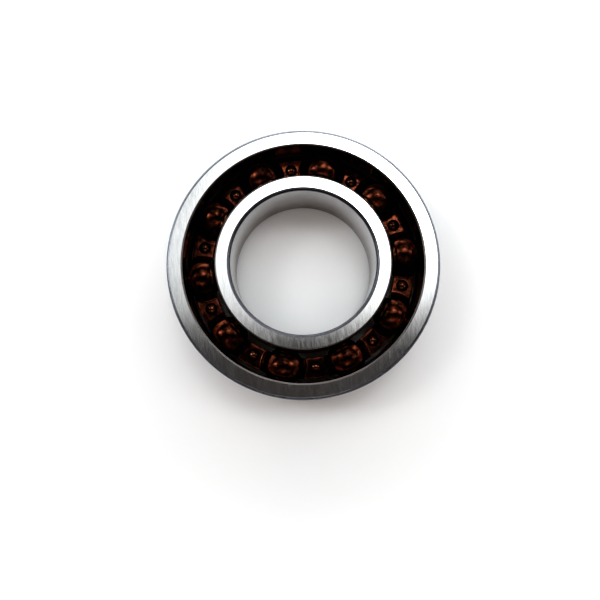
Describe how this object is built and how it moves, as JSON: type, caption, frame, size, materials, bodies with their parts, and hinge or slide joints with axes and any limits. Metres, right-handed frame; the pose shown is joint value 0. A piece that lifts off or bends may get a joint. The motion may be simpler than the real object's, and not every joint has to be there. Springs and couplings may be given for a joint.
{
  "type": "deep groove ball bearing",
  "caption": "Open deep-groove ball bearing: grooved inner and outer steel rings, a row of balls and a riveted ribbon cage; the inner ring, cage and balls turn together.",
  "frame": {"origin": "centre of the bearing: on the bore axis, at mid-width", "axes": "+Z along the bore axis, +X through the centre of ball_01; the bearing is symmetric about the plane Z = 0, so either side face may be up"},
  "size_m": [0.028, 0.028, 0.007],
  "materials": {
    "ring_steel": "hardened bearing steel, ground side faces with fine cross-grain, honed bore and raceways",
    "ball_steel": "mirror-polished hardened steel",
    "cage_steel": "pressed steel strip under a dark copper-brown oil film",
    "rivet_steel": "formed rivet head, same brown film, slightly brighter on the dome"
  },
  "bodies": {
    "outer_ring": {"outer_ring": "ring_steel"},
    "inner_ring": {"inner_ring": "ring_steel"},
    "cage": {"cage_upper_half": "cage_steel", "cage_lower_half": "cage_steel", "rivet_01": "rivet_steel", "rivet_02": "rivet_steel", "rivet_03": "rivet_steel", "rivet_04": "rivet_steel", "rivet_05": "rivet_steel", "rivet_06": "rivet_steel", "rivet_07": "rivet_steel", "rivet_08": "rivet_steel", "rivet_09": "rivet_steel", "rivet_10": "rivet_steel"},
    "ball_01": {"ball_01": "ball_steel"},
    "ball_02": {"ball_02": "ball_steel"},
    "ball_03": {"ball_03": "ball_steel"},
    "ball_04": {"ball_04": "ball_steel"},
    "ball_05": {"ball_05": "ball_steel"},
    "ball_06": {"ball_06": "ball_steel"},
    "ball_07": {"ball_07": "ball_steel"},
    "ball_08": {"ball_08": "ball_steel"},
    "ball_09": {"ball_09": "ball_steel"},
    "ball_10": {"ball_10": "ball_steel"}
  },
  "joints": [
    {"name": "inner_ring_spin", "type": "hinge", "parent": "outer_ring", "child": "inner_ring", "pos_m": [0, 0, 0], "axis": [0, 0, 1], "continuous": true},
    {"name": "cage_orbit", "type": "hinge", "parent": "outer_ring", "child": "cage", "pos_m": [0, 0, 0], "axis": [0, 0, 1], "continuous": true},
    {"name": "ball_01_spin", "type": "hinge", "parent": "cage", "child": "ball_01", "pos_m": [0.01075, 0, 0], "axis": [0, 0, 1], "continuous": true},
    {"name": "ball_02_spin", "type": "hinge", "parent": "cage", "child": "ball_02", "pos_m": [0.0087, 0.00632, 0], "axis": [0, 0, 1], "continuous": true},
    {"name": "ball_03_spin", "type": "hinge", "parent": "cage", "child": "ball_03", "pos_m": [0.00332, 0.01022, 0], "axis": [0, 0, 1], "continuous": true},
    {"name": "ball_04_spin", "type": "hinge", "parent": "cage", "child": "ball_04", "pos_m": [-0.00332, 0.01022, 0], "axis": [0, 0, 1], "continuous": true},
    {"name": "ball_05_spin", "type": "hinge", "parent": "cage", "child": "ball_05", "pos_m": [-0.0087, 0.00632, 0], "axis": [0, 0, 1], "continuous": true},
    {"name": "ball_06_spin", "type": "hinge", "parent": "cage", "child": "ball_06", "pos_m": [-0.01075, 0, 0], "axis": [0, 0, 1], "continuous": true},
    {"name": "ball_07_spin", "type": "hinge", "parent": "cage", "child": "ball_07", "pos_m": [-0.0087, -0.00632, 0], "axis": [0, 0, 1], "continuous": true},
    {"name": "ball_08_spin", "type": "hinge", "parent": "cage", "child": "ball_08", "pos_m": [-0.00332, -0.01022, 0], "axis": [0, 0, 1], "continuous": true},
    {"name": "ball_09_spin", "type": "hinge", "parent": "cage", "child": "ball_09", "pos_m": [0.00332, -0.01022, 0], "axis": [0, 0, 1], "continuous": true},
    {"name": "ball_10_spin", "type": "hinge", "parent": "cage", "child": "ball_10", "pos_m": [0.0087, -0.00632, 0], "axis": [0, 0, 1], "continuous": true}
  ],
  "couplings": [
    {"joint": "cage_orbit", "follows": "inner_ring_spin", "ratio": 0.4077},
    {"joint": "ball_01_spin", "follows": "inner_ring_spin", "ratio": -2.6162},
    {"joint": "ball_02_spin", "follows": "inner_ring_spin", "ratio": -2.6162},
    {"joint": "ball_03_spin", "follows": "inner_ring_spin", "ratio": -2.6162},
    {"joint": "ball_04_spin", "follows": "inner_ring_spin", "ratio": -2.6162},
    {"joint": "ball_05_spin", "follows": "inner_ring_spin", "ratio": -2.6162},
    {"joint": "ball_06_spin", "follows": "inner_ring_spin", "ratio": -2.6162},
    {"joint": "ball_07_spin", "follows": "inner_ring_spin", "ratio": -2.6162},
    {"joint": "ball_08_spin", "follows": "inner_ring_spin", "ratio": -2.6162},
    {"joint": "ball_09_spin", "follows": "inner_ring_spin", "ratio": -2.6162},
    {"joint": "ball_10_spin", "follows": "inner_ring_spin", "ratio": -2.6162}
  ]
}
